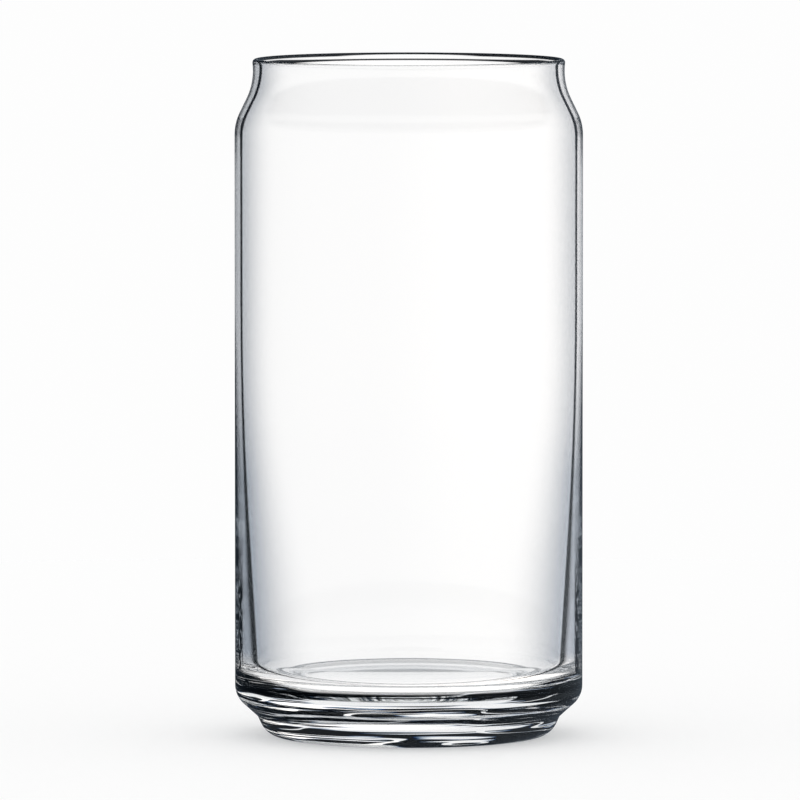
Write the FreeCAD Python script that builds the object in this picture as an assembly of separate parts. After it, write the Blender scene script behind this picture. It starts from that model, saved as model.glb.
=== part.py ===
import FreeCAD, Part
import math
import os

# Can shaped drinking glass, one piece of clear glass. Lengths are in mm, angles in degrees.
# The origin is the centre of the resting ring, +Z is the glass's axis and points up.

# Outside
HEIGHT = 148.0  # resting ring to the top of the rim
BODY_RADIUS = 38.0  # straight side
RIM_INSET = 3.9  # how far the widest part of the rim lies inside the straight side
RIM_ROUND = 0.8  # radius of the fire polished rim, half its thickness
NECK_DROP = 2.6  # rim top to the narrowest part of the neck
NECK_ARC = 13.8  # hollow curve from the rim into the shoulder
SHOULDER_ANGLE = 26.0  # slope of the shoulder, from the upright
SHOULDER_ARC = 11.0  # curve from the shoulder into the straight side
HEEL_HEIGHT = 11.1  # where the straight side starts to turn in
HEEL_ARC = 5.2  # curve from the side into the heel's slope
HEEL_ANGLE = 48.0  # slope of the heel, from the upright
FOOT_INSET = 4.9  # top of the foot, inside the straight side
FOOT_NOTCH = 0.8  # rounding of the hollow corner between heel and foot
FOOT_ARC = 4.65  # curve of the foot down to the resting ring
RING_INSET = 9.9  # outer edge of the resting ring, inside the straight side
RING_WIDTH = 1.2  # flat that touches the table
HOLLOW_DEPTH = 1.8  # shallow hollow under the base, inside the resting ring
HOLLOW_ANGLE = 28.0  # slope of the hollow's edge, from the level

# Inside
WALL = 1.35  # wall in the upper part of the body
TAPER_ANGLE = 3.52  # lean of the inner wall where the wall gets thicker
TAPER_HEIGHT = 69.5  # where the leaning line would meet the upright one
TAPER_BLEND = 24.0  # length of each line that the curve between them takes
INNER_ARC = 9.6  # inner curve below the shoulder
FLOOR_HEIGHT = 12.0  # inner floor above the table
CORNER_ARC = 5.5  # curve from the inner floor up into the wall

# Arcs are drawn as short cubic curves, each shallow enough for a light mesh
CURVE_SAG = 0.0182  # how far such a curve may stand off its chord
CURVE_TURN = 8.55  # the most that it turns
SMALL_ARC = 2.0  # an arc under this radius has longer ones
SMALL_SAG = 0.035
SMALL_TURN = 30.0


def vec(r, z):
    return FreeCAD.Vector(r, 0, z)


def on_circle(centre, radius, angle):
    a = math.radians(angle)
    return vec(centre.x + radius * math.cos(a), centre.z + radius * math.sin(a))


def arc(centre, radius, start, end):
    """A circular arc as a chain of cubic curves, in order from start to end."""
    sag, turn = (SMALL_SAG, SMALL_TURN) if radius < SMALL_ARC else (CURVE_SAG, CURVE_TURN)
    step = min(turn, 2 * math.degrees(math.acos(1 - sag / radius)))
    count = math.ceil(abs(end - start) / step)
    angles = [start + (end - start) * i / count for i in range(count + 1)]
    reach = radius * 4 / 3 * tan((end - start) / count / 4)
    edges = []
    for a, b in zip(angles, angles[1:]):
        first = on_circle(centre, radius, a)
        last = on_circle(centre, radius, b)
        edges.append(curve([first, first + along(a) * reach, last - along(b) * reach, last]))
    return edges


def along(angle):
    """Unit vector along a circle at this angle."""
    return vec(-sin(angle), cos(angle))


def curve(poles):
    """A curve from the first pole to the last. With two poles it is a straight slope."""
    bezier = Part.BezierCurve()
    bezier.setPoles(poles)
    return bezier.toShape()


def line(start, end):
    return Part.makeLine(start, end)


def sin(angle):
    return math.sin(math.radians(angle))


def cos(angle):
    return math.cos(math.radians(angle))


def tan(angle):
    return math.tan(math.radians(angle))


def build_underside():
    """The hollow under the base, the resting ring and the foot, from the axis outwards."""
    ring_outer = BODY_RADIUS - RING_INSET
    ring_inner = ring_outer - RING_WIDTH
    hollow_edge = vec(ring_inner - HOLLOW_DEPTH / tan(HOLLOW_ANGLE), HOLLOW_DEPTH)
    hollow = line(vec(0, HOLLOW_DEPTH), hollow_edge)
    slope = line(hollow_edge, vec(ring_inner, 0))
    flat = line(vec(ring_inner, 0), vec(ring_outer, 0))
    return [hollow, slope, flat]


def build_foot_and_heel():
    """From the outer edge of the resting ring up to the straight side."""
    heel_centre = vec(BODY_RADIUS - HEEL_ARC, HEEL_HEIGHT)
    heel_low = on_circle(heel_centre, HEEL_ARC, -HEEL_ANGLE)
    corner_r = BODY_RADIUS - FOOT_INSET
    corner = vec(corner_r, heel_low.z - (heel_low.x - corner_r) / tan(HEEL_ANGLE))

    foot_centre = vec(BODY_RADIUS - RING_INSET, FOOT_ARC)
    away = corner.sub(foot_centre)
    towards = math.degrees(math.atan2(away.z, away.x))
    foot_angle = towards - math.degrees(math.acos(FOOT_ARC / away.Length))
    foot_top = on_circle(foot_centre, FOOT_ARC, foot_angle)

    up = heel_low.sub(corner).normalize()
    down = foot_top.sub(corner).normalize()
    half = math.degrees(up.getAngle(down) / 2)
    outward = up.add(down).normalize()
    notch_centre = corner.add(outward * (FOOT_NOTCH / sin(half)))
    facing = math.degrees(math.atan2(-outward.z, -outward.x))
    notch_low = corner.add(down * (FOOT_NOTCH / tan(half)))
    notch_high = corner.add(up * (FOOT_NOTCH / tan(half)))

    foot = arc(foot_centre, FOOT_ARC, -90, foot_angle)
    foot_side = curve([foot_top, notch_low])
    notch = arc(notch_centre, FOOT_NOTCH, facing + 90 - half, facing - 90 + half)
    slope = line(notch_high, heel_low)
    heel = arc(heel_centre, HEEL_ARC, -HEEL_ANGLE, 0)
    return foot + [foot_side] + notch + [slope] + heel


def build_rim():
    """The rim's round, with the centre of the neck's curve and the angle where the two touch."""
    rim_centre = vec(BODY_RADIUS - RIM_INSET - RIM_ROUND, HEIGHT - RIM_ROUND)
    neck_z = HEIGHT - NECK_DROP
    rise = rim_centre.z - neck_z
    reach = math.sqrt((RIM_ROUND + NECK_ARC) ** 2 - rise**2)
    neck_centre = vec(rim_centre.x + reach, neck_z)
    touch = math.degrees(math.atan2(rise, reach))
    rim = arc(rim_centre, RIM_ROUND, -touch, 180 - touch)
    return rim, neck_centre, touch


def build_shoulder(neck_centre, touch, neck_radius, side_radius, side_arc):
    """Neck curve, shoulder slope and the curve into a straight side, and where that side starts."""
    neck = arc(neck_centre, neck_radius, 180 - touch, 180 + SHOULDER_ANGLE)
    neck_low = on_circle(neck_centre, neck_radius, 180 + SHOULDER_ANGLE)
    high_r = side_radius - side_arc * (1 - cos(SHOULDER_ANGLE))
    high = vec(high_r, neck_low.z - (high_r - neck_low.x) / tan(SHOULDER_ANGLE))
    centre = vec(side_radius - side_arc, high.z - side_arc * sin(SHOULDER_ANGLE))
    edges = neck + [curve([neck_low, high])] + arc(centre, side_arc, SHOULDER_ANGLE, 0)
    return edges, centre.z


def build_inside(wall_top):
    """The inner wall below its shoulder, the corner and the floor, down to the axis."""
    side_radius = BODY_RADIUS - WALL
    bend_radius = TAPER_BLEND / tan(TAPER_ANGLE / 2)
    bend_top = vec(side_radius, TAPER_HEIGHT + TAPER_BLEND)
    wall = line(vec(side_radius, wall_top), bend_top)
    bend_centre = vec(side_radius - bend_radius, bend_top.z)
    bend = arc(bend_centre, bend_radius, 0, -TAPER_ANGLE)
    bend_low = on_circle(bend_centre, bend_radius, -TAPER_ANGLE)

    # The corner touches the leaning wall and the level floor
    centre_z = FLOOR_HEIGHT + CORNER_ARC
    corner_z = centre_z - CORNER_ARC * sin(TAPER_ANGLE)
    corner_r = side_radius - (TAPER_HEIGHT - corner_z) * tan(TAPER_ANGLE)
    centre = vec(corner_r - CORNER_ARC * cos(TAPER_ANGLE), centre_z)
    lean = curve([bend_low, vec(corner_r, corner_z)])
    corner = arc(centre, CORNER_ARC, -TAPER_ANGLE, -90)
    floor = line(vec(centre.x, FLOOR_HEIGHT), vec(0, FLOOR_HEIGHT))
    return [wall] + bend + [lean] + corner + [floor]


def build_glass():
    rim, neck_centre, touch = build_rim()
    outer, side_top = build_shoulder(neck_centre, touch, NECK_ARC, BODY_RADIUS, SHOULDER_ARC)
    inner_neck = NECK_ARC + 2 * RIM_ROUND
    inner, wall_top = build_shoulder(neck_centre, touch, inner_neck, BODY_RADIUS - WALL, INNER_ARC)
    side = line(vec(BODY_RADIUS, HEEL_HEIGHT), vec(BODY_RADIUS, side_top))
    axis = line(vec(0, FLOOR_HEIGHT), vec(0, HOLLOW_DEPTH))
    edges = build_underside() + build_foot_and_heel() + [side] + outer + rim
    edges = edges + inner + build_inside(wall_top) + [axis]
    wire = Part.Wire(Part.__sortEdges__(edges))
    face = Part.Face(wire)
    return face.revolve(FreeCAD.Vector(0, 0, 0), FreeCAD.Vector(0, 0, 1), 360)


glass = build_glass()
if glass.ShapeType != "Solid":
    glass = glass.Solids[0]
print("volume mm3", glass.Volume, "valid", glass.isValid(), "box", glass.BoundBox)

os.makedirs("parts", exist_ok=True)
glass.exportStep("parts/can_glass.step")
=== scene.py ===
import math

import bpy
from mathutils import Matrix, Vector


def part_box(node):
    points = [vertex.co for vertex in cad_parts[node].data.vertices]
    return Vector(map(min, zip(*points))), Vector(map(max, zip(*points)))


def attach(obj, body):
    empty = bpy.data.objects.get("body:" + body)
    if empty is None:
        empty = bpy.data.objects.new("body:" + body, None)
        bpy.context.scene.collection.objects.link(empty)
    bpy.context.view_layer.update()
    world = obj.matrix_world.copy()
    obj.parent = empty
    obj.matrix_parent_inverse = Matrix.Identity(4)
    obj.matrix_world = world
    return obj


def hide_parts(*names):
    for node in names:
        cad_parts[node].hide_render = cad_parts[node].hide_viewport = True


MM = 0.001

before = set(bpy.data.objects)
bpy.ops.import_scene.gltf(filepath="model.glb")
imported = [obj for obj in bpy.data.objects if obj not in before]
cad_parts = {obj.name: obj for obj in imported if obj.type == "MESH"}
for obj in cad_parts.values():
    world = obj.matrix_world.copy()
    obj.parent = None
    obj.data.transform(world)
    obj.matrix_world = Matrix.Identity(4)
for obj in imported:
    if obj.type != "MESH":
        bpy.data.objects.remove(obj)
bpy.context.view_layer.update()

# Sizes of the glass in metres, angles in degrees. Height and width are the solid's own.
node_low, node_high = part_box("can_glass")
BODY_RADIUS = min(node_high[0] - node_low[0], node_high[1] - node_low[1]) / 2
HEIGHT = node_high[2] - node_low[2]
RIM_INSET = 3.9 * MM
RIM_ROUND = 0.8 * MM
NECK_DROP = 2.6 * MM
NECK_ARC = 13.8 * MM
SHOULDER_ANGLE = 26.0
SHOULDER_ARC = 11.0 * MM
HEEL_HEIGHT = 11.1 * MM
HEEL_ARC = 5.2 * MM
HEEL_ANGLE = 48.0
FOOT_INSET = 4.9 * MM
FOOT_NOTCH = 0.8 * MM
FOOT_ARC = 4.65 * MM
RING_INSET = 9.9 * MM
RING_WIDTH = 1.2 * MM
HOLLOW_DEPTH = 1.8 * MM
HOLLOW_ANGLE = 28.0
WALL = 1.35 * MM
TAPER_ANGLE = 3.52
TAPER_HEIGHT = 69.5 * MM
TAPER_BLEND = 24.0 * MM
INNER_ARC = 9.6 * MM
FLOOR_HEIGHT = 12.0 * MM
CORNER_ARC = 5.5 * MM

# Mesh
INSIDE_BOX = 1.0 - 4e-5  # keeps the fine mesh within the solid's own box
SEGMENTS = 480  # round the axis
SMALLEST_ROW = 0.002 * MM
CURVE_STEP = 3.0  # degrees between two rows, here for shoulder, neck and inner corner
BASE_STEP = 4.0
NOTCH_STEP = 6.0
RIM_STEP = 9.0
BEND_STEP = 0.3
HOLLOW_ROWS = 6
HOLLOW_EDGE_ROWS = 3
LEAN_ROWS = 10
FLOOR_ROWS = 8
SIDE_ROWS = ((13.0 * MM, 3), (19.0 * MM, 16), (125.0 * MM, 14))  # height reached, rows up to it

# Glass. In the looks below, a pair of numbers says where a change starts and where it ends.
INDEX = 1.51
DEPTH_COLOUR = (0.50, 0.55, 0.58, 1)
DEPTH_DENSITY = 4.0
SHADOW_CLEAR = (0.93, 0.935, 0.935)  # what the wall lets through for the floor's shadow
SHADOW_BASE = (0.55, 0.56, 0.57)
SHADOW_ZONE = (6.0 * MM, 20.0 * MM)
NO_WALL = 0.01  # under this share of the radius there is no inner wall at that height
CORNER_LIFT = 0.5 * MM  # how much higher the inner corner is seen on the outside
LOW_WALL = (30.0 * MM, 90.0 * MM)  # heights between which the wall's look changes

# Painted shade beside the inner wall's edge, for darker parts of the studio seen through the wall
WALL_SHADE_COLOUR = (0.15, 0.185, 0.24)
WALL_SHADE_REACH = (-8.5 * MM, 0.4 * MM)
WALL_SHADE_POWER = 1.6
WALL_SHADE_WIDENING = 0.45
WALL_SHADE_SHARE = 0.8
WALL_SHADE_DEEPENING = 0.35
WALL_SHADE_END = (13.0 * MM, 20.0 * MM)
WALL_SHADE_AT_FLOOR = 0.15

# Painted dark line at the inner wall's edge, where the glass would show a dark part of the studio
DARK_LINE_COLOUR = (0.0001, 0.00015, 0.0002)
LOW_DARK_LINE_COLOUR = (0.002, 0.0025, 0.003)
LINE_SHIFT = 0.1 * MM
LINE_SPREAD = 0.78
LINE_FADE = (0.06 * MM, 0.34 * MM)
LINE_NECK = (HEIGHT - 22.0 * MM, HEIGHT - 12.0 * MM)
LINE_THICKNESS = (0.06 * MM, 0.17 * MM)  # below the neck and in it

# Painted dark outer edge low down, broken by pale painted glints, and a painted dark outer edge in
# the neck
STRIPE_EDGE = (0.950, 0.960)
STRIPE_PALER = (0.975, 0.997)
STRIPE_PALENESS = 0.35
STRIPE_TOP = (32.0 * MM, 56.0 * MM)
GLINT_SPOT_SCALE = (900, 900, 600)
GLINT_SPOT_LEVEL = (0.57, 0.62)
NECK_SHADE_EDGE = (0.980, 0.988)
NECK_SHADE_SHARE = 0.85
NECK_SHADE_START = (HEIGHT - 27.0 * MM, HEIGHT - 17.0 * MM)

# Painted dark rings in the thick base, with pale painted glints, for the studio seen through it:
# step in height, how far they bend, and the bends' scale
RINGS = (3.0 * MM, 3.0, (20, 20, 240))
RING_SHARE = 0.6
FINE_RINGS = (1.0 * MM, 3.0, (20, 20, 900))
FINE_SHARE = 0.4
GLINTS = (2.6 * MM, 4.0, (18, 18, 330))
GLINT_SHARE = 1.4
GLINT_WIDTH = (0.06, 0.30)
SIDE_SHARE = 0.65
SIDE_REACH = (0.40, 0.95)
TOP_RING = 12.3 * MM
TOP_RING_SHARE = 0.55
TOP_RING_FADE = (0.5 * MM, 1.1 * MM)
RING_DARK_COLOUR = (0.0002, 0.00025, 0.0003)
RING_SOFTNESS = 0.16
# A painted colour fringe at the rings' edges
FRINGE = (-0.012, 0.0, 0.018)  # shifts red, green and blue apart
BASE_TOP = (12.3 * MM, 13.2 * MM)
BASE_RISE = 2.4 * MM  # how much higher the base starts at its sides
BASE_RISE_REACH = (0.55, 1.0)

# Painted dark lines at the lip, and a painted dark ring at the inner corner
LIP_DARK_COLOUR = (0.0003, 0.0004, 0.0005)
LIP_TOP = (HEIGHT - RIM_ROUND, HEIGHT - RIM_ROUND * 0.8)
LIP_FACING = (0.06, 0.14)
LIP_RING = HEIGHT - 1.5 * MM
LIP_RING_FADE = (0.10 * MM, 0.30 * MM)
LIP_RING_POWER = 2.0
LIP_RING_WIDENING = 1.6 * MM
LIP_RING_LIMIT = 0.25
CORNER_LINE_COLOUR = (0.04, 0.05, 0.06)
EDGE_SLOPE = 0.16  # how upright the corner is where its ring shows
EDGE_FADE = (0.04, 0.12)
EDGE_TOP = (13.0 * MM, 14.0 * MM)

# Studio. Levels are brightness, and the other pairs are a direction's height from -1 to 1.
WHITE = 0.985
SOFT_LIGHT = 1.0
SCREEN_LEVEL = 1.035  # seen through the glass
SCREEN_TOP_LEVEL = SCREEN_LEVEL * 0.99
SCREEN_TOP = (0.07, 0.085)
RIGHT_REACH = (-0.5, 0.9)  # how far a direction points to the right, not its height
WALL_LEVEL = 1.05  # seen by light that turned back once inside the wall
WALL_RIGHT = 0.75
WALL_LOW = (-0.19, -0.13)
WALL_LOW_SHARE = 0.9
WALL_DEEP = (-0.45, -0.28)
WALL_DEEP_LEVEL = 1.15
MIRROR_LEVEL = 0.04  # seen in the outer surface
MIRROR_RIGHT = 0.14
CAVITY_LEVEL = 0.85  # seen in surfaces behind the cavity
CAVITY_START = (-0.45, -0.35)
BAR_STEP = 0.07  # bright and dark bars for light that turned back more often
BAR_EDGE = 0.25
BAR_LEVELS = (0.10, 1.25)
BARE_HEIGHT = -0.1  # no bars lie near this height
BAR_START = (0.20, 0.30)  # how far from it they start
DARK_BLUENESS = (1.2, 1.1, 1.0)  # powers for red, green and blue
FLOOR_RADIUS = 0.45
FLOOR_CORNERS = 96
FLOOR_ALBEDO = 0.8

# Camera, measured in the photo's pixels at the glass's axis
FRAME = 800
PIXEL = 38.0 * MM / 174.0
EYE = Vector((0, -11320 * PIXEL, 1155.8 * PIXEL))
TARGET = Vector((-8.75 * PIXEL, 0, 336.24 * PIXEL))
SENSOR = 36.0


def sin(angle):
    return math.sin(math.radians(angle))


def cos(angle):
    return math.cos(math.radians(angle))


def tan(angle):
    return math.tan(math.radians(angle))


def on_circle(centre, radius, angle):
    return (centre[0] + radius * cos(angle), centre[1] + radius * sin(angle))


def arc(centre, radius, start, end, step):
    count = max(2, math.ceil(abs(end - start) / step))
    return [on_circle(centre, radius, start + (end - start) * i / count) for i in range(count + 1)]


def straight(start, end, count):
    ends = list(zip(start, end))
    return [tuple(a + (b - a) * i / count for a, b in ends) for i in range(count + 1)]


def outline():
    """The section from the middle of the underside, up the outside and down to the inner floor."""
    path = underside() + foot_and_heel()
    for height, rows in SIDE_ROWS:
        path += straight(path[-1], (BODY_RADIUS, height), rows)[1:]

    rim = (BODY_RADIUS - RIM_INSET - RIM_ROUND, HEIGHT - RIM_ROUND)
    rise = NECK_DROP - RIM_ROUND
    reach = math.sqrt((RIM_ROUND + NECK_ARC) ** 2 - rise**2)
    neck = (rim[0] + reach, HEIGHT - NECK_DROP)
    touch = math.degrees(math.atan2(rise, reach))
    path += shoulder(neck, touch, NECK_ARC, BODY_RADIUS, SHOULDER_ARC)[::-1]
    path += arc(rim, RIM_ROUND, -touch, 180 - touch, RIM_STEP)[1:-1]
    path += shoulder(neck, touch, NECK_ARC + 2 * RIM_ROUND, BODY_RADIUS - WALL, INNER_ARC)
    return path + inside()


def underside():
    ring_inner = BODY_RADIUS - RING_INSET - RING_WIDTH
    hollow_edge = (ring_inner - HOLLOW_DEPTH / tan(HOLLOW_ANGLE), HOLLOW_DEPTH)
    path = straight((0, HOLLOW_DEPTH), hollow_edge, HOLLOW_ROWS)
    return path + straight(hollow_edge, (ring_inner, 0), HOLLOW_EDGE_ROWS)


def foot_and_heel():
    heel = (BODY_RADIUS - HEEL_ARC, HEEL_HEIGHT)
    heel_low = Vector(on_circle(heel, HEEL_ARC, -HEEL_ANGLE))
    corner_r = BODY_RADIUS - FOOT_INSET
    corner = Vector((corner_r, heel_low.y - (heel_low.x - corner_r) / tan(HEEL_ANGLE)))
    foot = Vector((BODY_RADIUS - RING_INSET, FOOT_ARC))
    away = corner - foot
    foot_angle = math.degrees(math.atan2(away.y, away.x) - math.acos(FOOT_ARC / away.length))
    foot_top = Vector(on_circle(foot, FOOT_ARC, foot_angle))

    # The notch's round touches the foot's side and the heel's slope
    up = (heel_low - corner).normalized()
    down = (foot_top - corner).normalized()
    half = up.angle(down) / 2
    notch = corner + (up + down).normalized() * FOOT_NOTCH / math.sin(half)
    turn = 90 - math.degrees(half)
    middle = math.degrees(math.atan2(corner.y - notch.y, corner.x - notch.x))
    path = arc(foot, FOOT_ARC, -90, foot_angle, BASE_STEP)
    path += arc(notch, FOOT_NOTCH, middle + turn, middle - turn, NOTCH_STEP)
    return path + arc(heel, HEEL_ARC, -HEEL_ANGLE, 0, BASE_STEP)


def shoulder(neck, touch, neck_radius, side_radius, side_arc):
    path = arc(neck, neck_radius, 180 - touch, 180 + SHOULDER_ANGLE, CURVE_STEP)
    low_r, low_z = path[-1]
    high_r = side_radius - side_arc * (1 - cos(SHOULDER_ANGLE))
    high_z = low_z - (high_r - low_r) / tan(SHOULDER_ANGLE)
    centre = (side_radius - side_arc, high_z - side_arc * sin(SHOULDER_ANGLE))
    return path + arc(centre, side_arc, SHOULDER_ANGLE, 0, CURVE_STEP)


def inside():
    """The inner wall's bend and lean, the corner and the floor."""
    side_radius = BODY_RADIUS - WALL
    bend = TAPER_BLEND / tan(TAPER_ANGLE / 2)
    bend_centre = (side_radius - bend, TAPER_HEIGHT + TAPER_BLEND)
    path = arc(bend_centre, bend, 0, -TAPER_ANGLE, BEND_STEP)
    centre_z = FLOOR_HEIGHT + CORNER_ARC
    corner_z = centre_z - CORNER_ARC * sin(TAPER_ANGLE)
    corner_r = side_radius - (TAPER_HEIGHT - corner_z) * tan(TAPER_ANGLE)
    centre = (corner_r - CORNER_ARC * cos(TAPER_ANGLE), centre_z)
    path += straight(path[-1], (corner_r, corner_z), LEAN_ROWS)[1:]
    path += arc(centre, CORNER_ARC, -TAPER_ANGLE, -90, CURVE_STEP)
    return path + straight((centre[0], FLOOR_HEIGHT), (0, FLOOR_HEIGHT), FLOOR_ROWS)


def without_repeats(path):
    result = [path[0]]
    for point in path[1:]:
        if math.dist(point, result[-1]) > SMALLEST_ROW:
            result.append(point)
    return result


def lathe(name, path, segments):
    """A closed solid of revolution. The first and last points lie on the axis."""
    rows = [(r * INSIDE_BOX, z) for r, z in path[1:-1]]
    turns = [2 * math.pi * k / segments for k in range(segments)]
    verts = [(0, 0, path[0][1])]
    verts += [(r * math.cos(a), r * math.sin(a), z) for r, z in rows for a in turns]
    verts.append((0, 0, path[-1][1]))
    last_row = 1 + (len(rows) - 1) * segments
    faces = []
    for k in range(segments):
        after = (k + 1) % segments
        faces.append((0, 1 + after, 1 + k))
        faces.append((len(verts) - 1, last_row + k, last_row + after))
    for low in range(1, last_row, segments):
        high = low + segments
        for k in range(segments):
            after = (k + 1) % segments
            faces.append((low + k, low + after, high + after, high + k))
    mesh = bpy.data.meshes.new(name)
    mesh.from_pydata(verts, [], faces)
    mesh.validate()
    mesh.polygons.foreach_set("use_smooth", [True] * len(mesh.polygons))
    mesh.update()
    add_row_values(mesh, rows, segments)
    piece = bpy.data.objects.new(name, mesh)
    bpy.context.collection.objects.link(piece)
    return piece


def add_row_values(mesh, rows, segments):
    """Values of each row for the material. The underside's middle point counts as outside."""
    top = max(range(len(rows)), key=lambda row: rows[row][1])
    outer = [1.0 if row < top else 0.0 for row in range(len(rows))]
    lip = [1.0 - value for value in outer]
    wall = [mirror_edge(rows[top:], z) / r * out for (r, z), out in zip(rows, outer)]
    upright = [slope(rows, row) for row in range(len(rows))]
    for label, first, values in (
        ("outer", 1.0, outer),
        ("wall", 0.0, wall),
        ("upright", 0.0, upright),
        ("lip", 0.0, lip),
    ):
        values = [first] + [value for value in values for k in range(segments)] + [0.0]
        mesh.attributes.new(label, "FLOAT", "POINT").data.foreach_set("value", values)


def mirror_edge(rows, z):
    """How far off the axis a line of sight at this height starts to turn back inside the wall."""
    z = z - CORNER_LIFT
    lean = (FLOOR_HEIGHT + CORNER_ARC - z) / CORNER_ARC
    if lean <= 0:
        return inner_radius(rows, z)
    if lean >= 1:
        return 0.0
    reach = INDEX**2 - (INDEX**2 - 1) / (1 - lean**2)
    return inner_radius(rows, z) * math.sqrt(max(reach, 0.0))


def inner_radius(rows, z):
    """The inside's radius at a height. Zero where there is none."""
    for (r0, z0), (r1, z1) in zip(rows, rows[1:]):
        if min(z0, z1) <= z <= max(z0, z1) and z0 != z1:
            return r0 + (r1 - r0) * (z - z0) / (z1 - z0)
    return 0.0


def slope(rows, row):
    """How upright the section runs at a row. 1 is upright and 0 level."""
    (r0, z0), (r1, z1) = rows[max(row - 1, 0)], rows[min(row + 1, len(rows) - 1)]
    return abs(z1 - z0) / math.hypot(r1 - r0, z1 - z0)


def connect(tree, value, socket):
    """Sets a number or a colour on a socket, or links another node's output to it."""
    if isinstance(value, (int, float)):
        socket.default_value = value
    elif isinstance(value, tuple):
        socket.default_value = (*value, 1)
    else:
        tree.links.new(value, socket)


def math_node(tree, operation, *values, clamp=False):
    node = tree.nodes.new("ShaderNodeMath")
    node.operation = operation
    node.use_clamp = clamp
    for value, socket in zip(values, node.inputs):
        connect(tree, value, socket)
    return node.outputs[0]


def add(tree, first, second):
    return math_node(tree, "ADD", first, second)


def subtract(tree, first, second):
    return math_node(tree, "SUBTRACT", first, second)


def product(tree, first, *others):
    for value in others:
        first = math_node(tree, "MULTIPLY", first, value)
    return first


def scaled(tree, value, factor, offset, clamp=False):
    return math_node(tree, "MULTIPLY_ADD", value, factor, offset, clamp=clamp)


def apart(tree, value, middle):
    return math_node(tree, "ABSOLUTE", subtract(tree, value, middle))


def smooth(tree, value, low, high, to_low=0.0, to_high=1.0):
    """Eases from one level to another as the value goes from low to high."""
    node = tree.nodes.new("ShaderNodeMapRange")
    node.interpolation_type = "SMOOTHSTEP"
    for name, setting in (
        ("Value", value),
        ("From Min", low),
        ("From Max", high),
        ("To Min", to_low),
        ("To Max", to_high),
    ):
        connect(tree, setting, node.inputs[name])
    return node.outputs["Result"]


def choose(tree, factor, first, second):
    """Mixes two colours."""
    node = tree.nodes.new("ShaderNodeMix")
    node.data_type = "RGBA"
    for index, value in ((0, factor), (6, first), (7, second)):
        connect(tree, value, node.inputs[index])
    return node.outputs[2]


def choose_value(tree, factor, first, second):
    node = tree.nodes.new("ShaderNodeMix")
    for index, value in ((0, factor), (2, first), (3, second)):
        connect(tree, value, node.inputs[index])
    return node.outputs[0]


def mix_shaders(tree, factor, first, second):
    node = tree.nodes.new("ShaderNodeMixShader")
    for socket, value in zip(node.inputs, (factor, first, second)):
        tree.links.new(value, socket)
    return node.outputs[0]


def combine(tree, channels):
    node = tree.nodes.new("ShaderNodeCombineColor")
    for value, socket in zip(channels, node.inputs):
        tree.links.new(value, socket)
    return node.outputs[0]


def attribute(tree, name):
    node = tree.nodes.new("ShaderNodeAttribute")
    node.attribute_name = name
    return node.outputs["Fac"]


def streak_noise(tree, where, scale):
    """Noise drawn out along the glass's circumference."""
    stretch = tree.nodes.new("ShaderNodeMapping")
    stretch.inputs["Scale"].default_value = scale
    tree.links.new(where, stretch.inputs["Vector"])
    noise = tree.nodes.new("ShaderNodeTexNoise")
    noise.inputs["Scale"].default_value = 1.0
    noise.inputs["Detail"].default_value = 1.0
    tree.links.new(stretch.outputs[0], noise.inputs["Vector"])
    return noise.outputs["Fac"]


def ring_pattern(tree, where, height, step, bend, scale):
    """Rings round the glass that bend, fork and close up. Between -1 and 1."""
    phase = product(tree, streak_noise(tree, where, scale), 2 * math.pi * bend)
    return math_node(tree, "SINE", scaled(tree, height, 2 * math.pi / step, phase))


def new_material(name):
    material = bpy.data.materials.new(name)
    material.use_nodes = True
    material.node_tree.nodes.clear()
    out = material.node_tree.nodes.new("ShaderNodeOutputMaterial")
    return material, material.node_tree, out


def glass_material():
    """Clear glass. For the shadow its thick base lets less light through."""
    material, tree, out = new_material("clear_glass")
    nodes, links = tree.nodes, tree.links
    place = nodes.new("ShaderNodeTexCoord")
    where = place.outputs["Object"]
    split = nodes.new("ShaderNodeSeparateXYZ")
    links.new(where, split.inputs[0])
    height = split.outputs[2]

    glass = nodes.new("ShaderNodeBsdfPrincipled")
    glass.inputs["Roughness"].default_value = 0.0
    glass.inputs["IOR"].default_value = INDEX
    glass.inputs["Transmission Weight"].default_value = 1.0
    # The base colour carries painted shade, painted dark lines and painted glints.
    links.new(glass_colour_with_painted_shade(tree, where, height), glass.inputs["Base Color"])

    clear = nodes.new("ShaderNodeBsdfTransparent")
    thick = smooth(tree, height, *SHADOW_ZONE, 1.0, 0.0)
    links.new(choose(tree, thick, SHADOW_CLEAR, SHADOW_BASE), clear.inputs["Color"])
    rays = nodes.new("ShaderNodeLightPath")
    soft = math_node(tree, "MAXIMUM", rays.outputs["Is Shadow Ray"], rays.outputs["Is Diffuse Ray"])
    links.new(mix_shaders(tree, soft, glass.outputs[0], clear.outputs[0]), out.inputs["Surface"])

    depth = nodes.new("ShaderNodeVolumeAbsorption")
    depth.inputs["Color"].default_value = DEPTH_COLOUR
    depth.inputs["Density"].default_value = DEPTH_DENSITY
    links.new(depth.outputs[0], out.inputs["Volume"])
    return material


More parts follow.
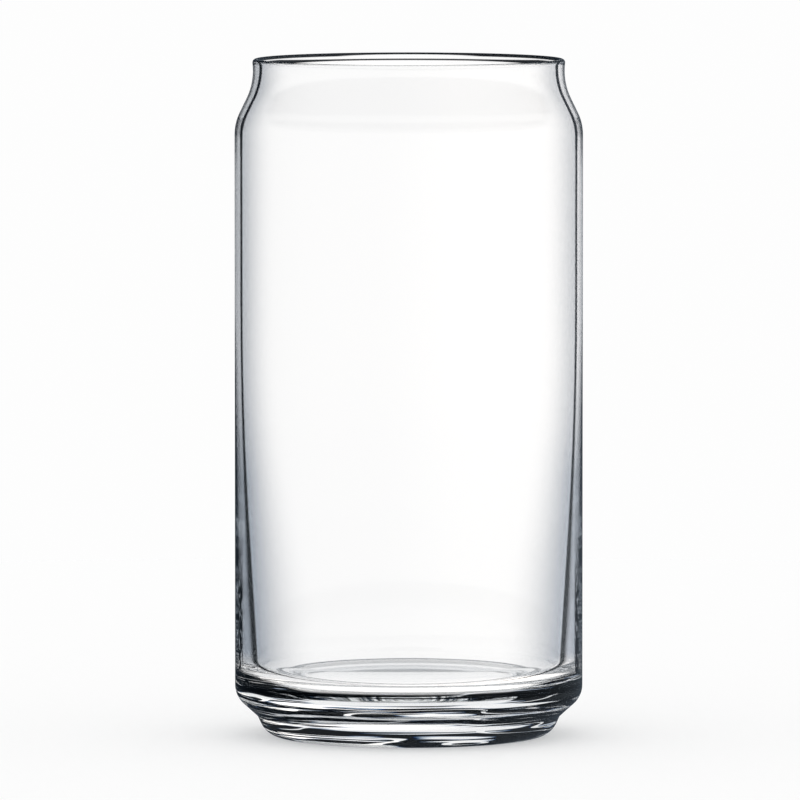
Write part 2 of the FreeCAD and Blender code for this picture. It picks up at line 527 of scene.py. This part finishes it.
def glass_colour_with_painted_shade(tree, where, height):
    """White, with painted shade, painted dark lines and pale painted glints where the glass would
    take on a studio's dark and bright parts.
    """
    weight = tree.nodes.new("ShaderNodeLayerWeight")
    weight.inputs["Blend"].default_value = 0.5
    facing = weight.outputs["Facing"]
    side = tree.nodes.new("ShaderNodeNewGeometry")
    front = subtract(tree, 1.0, side.outputs["Backfacing"])
    upright = attribute(tree, "upright")
    outside = product(tree, front, attribute(tree, "outer"))
    lip = product(tree, front, attribute(tree, "lip"))
    low = smooth(tree, height, *LOW_WALL, 1.0, 0.0)

    # How far off the axis the line of sight passes, as a share of the outside's radius
    turned = math_node(tree, "DIVIDE", subtract(tree, 1.0, facing), upright)
    turned = subtract(tree, 1.0, product(tree, turned, turned))
    across = math_node(tree, "SQRT", math_node(tree, "MAXIMUM", turned, 0.0))

    # And how far beyond the inner wall's edge
    wall = attribute(tree, "wall")
    beyond = product(tree, subtract(tree, across, wall), BODY_RADIUS)
    walled = product(tree, outside, math_node(tree, "GREATER_THAN", wall, NO_WALL))

    # Painted shade beside the inner wall's edge
    wall_shade = painted_wall_shade(tree, height, beyond, low)
    painted_colour = choose(tree, product(tree, wall_shade, walled), (1.0, 1.0, 1.0), WALL_SHADE_COLOUR)
    # Painted dark line at the inner wall's edge
    line = product(tree, painted_wall_line(tree, height, beyond, low), walled)
    painted_colour = choose(tree, line, painted_colour, choose(tree, low, DARK_LINE_COLOUR, LOW_DARK_LINE_COLOUR))
    # Painted dark rings and pale painted glints in the thick base
    base = product(tree, base_share(tree, height, across), outside)
    painted_colour = choose(tree, base, painted_colour, painted_base_rings(tree, where, height, across))
    # Painted dark outer edge low down, with pale painted glints
    stripe = product(tree, painted_low_stripe(tree, where, height, across), walled)
    painted_colour = choose(tree, stripe, painted_colour, DARK_LINE_COLOUR)
    # Painted dark outer edge in the neck
    neck_shade = smooth(tree, across, *NECK_SHADE_EDGE, 0.0, NECK_SHADE_SHARE)
    neck_shade = product(tree, neck_shade, smooth(tree, height, *NECK_SHADE_START), walled)
    painted_colour = choose(tree, neck_shade, painted_colour, DARK_LINE_COLOUR)
    # Painted dark ring where the inner corner meets the floor
    edge = smooth(tree, apart(tree, upright, EDGE_SLOPE), *EDGE_FADE, 1.0, 0.0)
    edge = product(tree, edge, smooth(tree, height, *EDGE_TOP, 1.0, 0.0), lip)
    painted_colour = choose(tree, edge, painted_colour, CORNER_LINE_COLOUR)
    # Painted dark lines at the lip
    return choose(tree, product(tree, painted_lip_rings(tree, height, facing), lip), painted_colour, LIP_DARK_COLOUR)


def painted_wall_shade(tree, height, beyond, low):
    """A painted shade that grows towards the inner wall's edge, wider and deeper low down."""
    wall_shade = product(tree, beyond, scaled(tree, low, -WALL_SHADE_WIDENING, 1.0))
    wall_shade = math_node(tree, "POWER", smooth(tree, wall_shade, *WALL_SHADE_REACH), WALL_SHADE_POWER)
    share = scaled(tree, low, WALL_SHADE_DEEPENING, WALL_SHADE_SHARE, clamp=True)
    return product(tree, wall_shade, share, smooth(tree, height, *WALL_SHADE_END, WALL_SHADE_AT_FLOOR, 1.0))


def painted_wall_line(tree, height, beyond, low):
    """A painted dark line at the inner wall's edge that spreads outwards low down."""
    off = add(tree, beyond, LINE_SHIFT)
    outwards = product(tree, off, scaled(tree, low, -LINE_SPREAD, 1.0))
    off = math_node(tree, "MAXIMUM", product(tree, off, -1.0), outwards)
    thickness = smooth(tree, height, *LINE_NECK, *LINE_THICKNESS)
    return smooth(tree, subtract(tree, off, thickness), *LINE_FADE, 1.0, 0.0)


def painted_low_stripe(tree, where, height, across):
    """A painted dark outer edge, broken by pale painted glints, where the wall is thick."""
    stripe = smooth(tree, across, *STRIPE_EDGE)
    paler = smooth(tree, across, *STRIPE_PALER, 0.0, STRIPE_PALENESS)
    between_glints = smooth(tree, streak_noise(tree, where, GLINT_SPOT_SCALE), *GLINT_SPOT_LEVEL, 1.0, 0.0)
    below = smooth(tree, height, *STRIPE_TOP, 1.0, 0.0)
    return product(tree, stripe, subtract(tree, 1.0, paler), below, between_glints)


def base_share(tree, height, across):
    rise = smooth(tree, across, *BASE_RISE_REACH, 0.0, BASE_RISE)
    return smooth(tree, subtract(tree, height, rise), *BASE_TOP, 1.0, 0.0)


def painted_base_rings(tree, where, height, across):
    """Painted dark rings with pale painted glints, and with a painted colour fringe at their edges.
    """
    dark = smooth(tree, across, *SIDE_REACH, 0.0, SIDE_SHARE)
    dark = scaled(tree, ring_pattern(tree, where, height, *RINGS), RING_SHARE, dark)
    dark = scaled(tree, ring_pattern(tree, where, height, *FINE_RINGS), FINE_SHARE, dark)
    top = apart(tree, height, TOP_RING)
    dark = add(tree, dark, smooth(tree, top, *TOP_RING_FADE, TOP_RING_SHARE, 0.0))
    glint = math_node(tree, "ABSOLUTE", ring_pattern(tree, where, height, *GLINTS))
    dark = add(tree, dark, smooth(tree, glint, *GLINT_WIDTH, -GLINT_SHARE, 0.0))
    channels = []
    for shift, deep in zip(FRINGE, RING_DARK_COLOUR):
        channels.append(smooth(tree, dark, shift - RING_SOFTNESS, shift + RING_SOFTNESS, 1.0, deep))
    return combine(tree, channels)


def painted_lip_rings(tree, height, facing):
    """A painted dark top of the rim, and below it a painted dark ring that gets wider towards its
    ends.
    """
    top = product(tree, smooth(tree, height, *LIP_TOP), smooth(tree, facing, *LIP_FACING))
    wide = math_node(tree, "POWER", facing, LIP_RING_POWER)
    wide = product(tree, math_node(tree, "MINIMUM", wide, LIP_RING_LIMIT), LIP_RING_WIDENING)
    off = subtract(tree, apart(tree, height, LIP_RING), wide)
    return math_node(tree, "MAXIMUM", top, smooth(tree, off, *LIP_RING_FADE, 1.0, 0.0))


def ray_facts(tree):
    """What is known of a ray, and 1 if it comes straight from glass."""
    rays = tree.nodes.new("ShaderNodeLightPath").outputs
    return rays, math_node(tree, "MAXIMUM", rays["Is Glossy Ray"], rays["Is Transmission Ray"])


def glass_rays(tree, rays):
    """1 for rays that only bent in the glass, and 1 for rays that turned back inside its wall."""
    passed = rays["Is Transmission Ray"]
    turned = math_node(tree, "GREATER_THAN", rays["Glossy Depth"], 0.5)
    short = math_node(tree, "LESS_THAN", rays["Transmission Depth"], 2.5)
    bent = product(tree, subtract(tree, 1.0, turned), passed)
    return bent, product(tree, turned, passed, short)


def grey(tree, value):
    """Turns a brightness into a colour that is a little bluer where it is darker."""
    return combine(tree, [math_node(tree, "POWER", value, power) for power in DARK_BLUENESS])


def build_world():
    """A white studio. What the glass shows of it depends on how the light passed through."""
    world = bpy.data.worlds.new("studio")
    bpy.context.scene.world = world
    world.use_nodes = True
    tree = world.node_tree
    tree.nodes.clear()
    place = tree.nodes.new("ShaderNodeTexCoord")
    split = tree.nodes.new("ShaderNodeSeparateXYZ")
    tree.links.new(place.outputs["Generated"], split.inputs[0])
    right = smooth(tree, split.outputs[0], *RIGHT_REACH)
    z = split.outputs[2]
    rays, met = ray_facts(tree)
    bent, inner = glass_rays(tree, rays)

    through = choose_value(tree, smooth(tree, z, *SCREEN_TOP), SCREEN_LEVEL, SCREEN_TOP_LEVEL)
    side = scaled(tree, right, WALL_RIGHT, WALL_LEVEL)
    low = scaled(tree, smooth(tree, z, *WALL_LOW), 1.0 - WALL_LOW_SHARE, WALL_LOW_SHARE)
    in_wall = product(tree, side, low, smooth(tree, z, *WALL_DEEP, WALL_DEEP_LEVEL, 1.0))
    bars = math_node(tree, "SINE", product(tree, z, 2 * math.pi / BAR_STEP))
    bars = smooth(tree, bars, -BAR_EDGE, BAR_EDGE, *BAR_LEVELS)
    often = math_node(tree, "GREATER_THAN", rays["Glossy Depth"], 1.5)
    steep = smooth(tree, apart(tree, z, BARE_HEIGHT), *BAR_START)
    often = product(tree, often, steep)
    in_wall = choose_value(tree, often, in_wall, bars)
    cavity = math_node(tree, "GREATER_THAN", rays["Transmission Depth"], 2.5)
    cavity = product(tree, cavity, smooth(tree, z, *CAVITY_START))
    mirror = scaled(tree, right, MIRROR_RIGHT, MIRROR_LEVEL)
    mirror = choose_value(tree, cavity, mirror, CAVITY_LEVEL)

    colour = choose(tree, inner, grey(tree, mirror), grey(tree, in_wall))
    colour = choose(tree, bent, colour, grey(tree, through))
    direct = choose(tree, rays["Is Camera Ray"], (SOFT_LIGHT,) * 3, (WHITE,) * 3)
    colour = choose(tree, met, direct, colour)
    background = tree.nodes.new("ShaderNodeBackground")
    tree.links.new(colour, background.inputs["Color"])
    out = tree.nodes.new("ShaderNodeOutputWorld")
    tree.links.new(background.outputs[0], out.inputs["Surface"])


def build_floor():
    """A white disc that keeps the shadow. Light that comes from the glass passes it."""
    bpy.ops.mesh.primitive_circle_add(vertices=FLOOR_CORNERS, radius=FLOOR_RADIUS, fill_type="NGON")
    floor = bpy.context.object
    floor.name = "floor"
    material, tree, out = new_material("floor_white")
    rays, met = ray_facts(tree)
    paper = tree.nodes.new("ShaderNodeBsdfDiffuse")
    paper.inputs["Color"].default_value = (FLOOR_ALBEDO, FLOOR_ALBEDO, FLOOR_ALBEDO, 1)
    glow = tree.nodes.new("ShaderNodeEmission")
    level = product(tree, rays["Is Camera Ray"], WHITE - FLOOR_ALBEDO * SOFT_LIGHT)
    tree.links.new(level, glow.inputs["Strength"])
    both = tree.nodes.new("ShaderNodeAddShader")
    tree.links.new(paper.outputs[0], both.inputs[0])
    tree.links.new(glow.outputs[0], both.inputs[1])
    through = tree.nodes.new("ShaderNodeBsdfTransparent")
    surface = mix_shaders(tree, met, both.outputs[0], through.outputs[0])
    tree.links.new(surface, out.inputs["Surface"])
    floor.data.materials.append(material)


def build_camera():
    data = bpy.data.cameras.new("camera")
    camera = bpy.data.objects.new("camera", data)
    bpy.context.collection.objects.link(camera)
    data.sensor_width = SENSOR
    data.lens = SENSOR * (TARGET - EYE).length / (FRAME * PIXEL)
    data.clip_start = 0.1
    data.clip_end = 50.0
    camera.location = EYE
    camera.rotation_euler = (TARGET - EYE).to_track_quat("-Z", "Y").to_euler()
    bpy.context.scene.camera = camera


def build_glass():
    glass = lathe("glass", without_repeats(outline()), SEGMENTS)
    glass.data.materials.append(glass_material())
    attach(glass, "root")
    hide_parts("can_glass")
    return glass


scene = bpy.context.scene
scene.cycles.max_bounces = 32
scene.cycles.glossy_bounces = 24
scene.cycles.transmission_bounces = 24
scene.view_settings.view_transform = "Standard"

glass = build_glass()
build_world()
build_floor()
build_camera()
